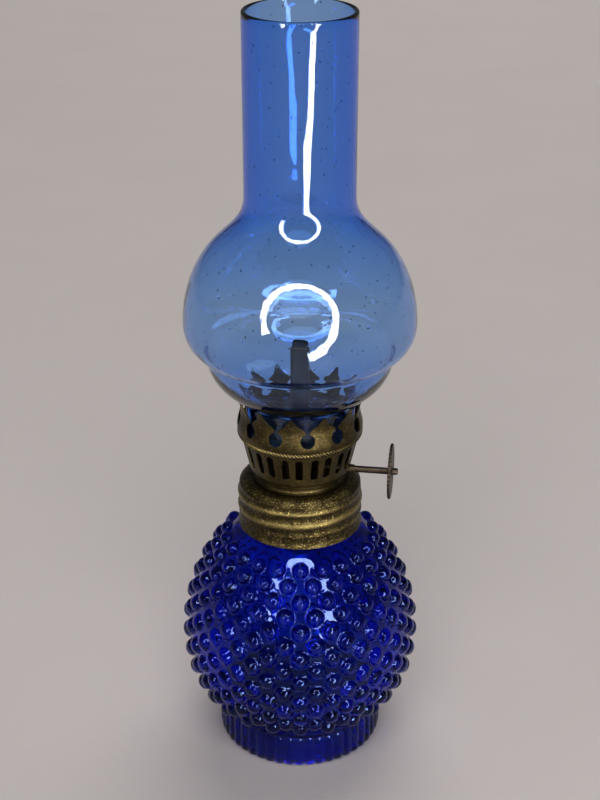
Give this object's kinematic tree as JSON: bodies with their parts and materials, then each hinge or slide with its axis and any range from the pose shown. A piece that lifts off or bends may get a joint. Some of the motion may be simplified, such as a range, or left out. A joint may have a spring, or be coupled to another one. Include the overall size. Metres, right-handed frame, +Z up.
{
  "type": "oil lamp",
  "caption": "Miniature oil lamp: ribbed-foot hobnail glass font, brass screw cap and crown burner with a thumb-wheel wick raiser, and a bulbous glass chimney.",
  "frame": {"origin": "centre of the foot, on the surface the lamp stands on", "axes": "+Z up along the lamp's axis, +X along the wick spindle towards the thumb knob"},
  "size_m": [0.0656, 0.0654, 0.203],
  "materials": {
    "cobalt_glass": "pressed cobalt blue glass",
    "chimney_glass": "thin blown pale blue glass",
    "aged_brass": "tarnished sheet brass",
    "dark_brass": "dark oxidised brass",
    "tube_metal": "dull tinned metal",
    "gasket_rubber": "matt",
    "cotton": "woven cotton, charred at the top"
  },
  "bodies": {
    "font": {"font": "cobalt_glass"},
    "gasket": {"neck_gasket": "gasket_rubber"},
    "burner": {"screw_cap": "aged_brass", "burner_ferrule": "aged_brass", "base_plate": "dark_brass", "air_cup": "aged_brass", "crown_gallery": "aged_brass", "air_plate": "dark_brass", "wick_tube": "tube_metal", "wheel_housing": "dark_brass", "spindle_bushing": "dark_brass"},
    "raiser": {"spindle": "dark_brass", "spur_wheels": "aged_brass", "thrust_collar": "aged_brass", "thumb_knob": "dark_brass"},
    "wick": {"wick": "cotton"},
    "chimney": {"chimney": "chimney_glass"}
  },
  "joints": [
    {"name": "burner_rise", "type": "slide", "parent": "font", "child": "gasket", "axis": [0, 0, 1], "range_m": [0, 0.00586]},
    {"name": "burner_unscrew", "type": "hinge", "parent": "gasket", "child": "burner", "pos_m": [0, 0, 0.07], "axis": [0, 0, 1], "range_deg": [0, 540]},
    {"name": "knob_turn", "type": "hinge", "parent": "burner", "child": "raiser", "pos_m": [0, -0.0029, 0.0842], "axis": [1, 0, 0], "range_deg": [-115, 173]},
    {"name": "wick_raise", "type": "slide", "parent": "burner", "child": "wick", "axis": [0, 0, 1], "range_m": [-0.004, 0.006]},
    {"name": "chimney_lift", "type": "slide", "parent": "burner", "child": "chimney", "axis": [0, 0, 1], "range_m": [0, 0.06]}
  ],
  "couplings": [
    {"joint": "burner_rise", "follows": "burner_unscrew", "m_per_rad": 0.0006207},
    {"joint": "wick_raise", "follows": "knob_turn", "m_per_rad": 0.00198}
  ]
}
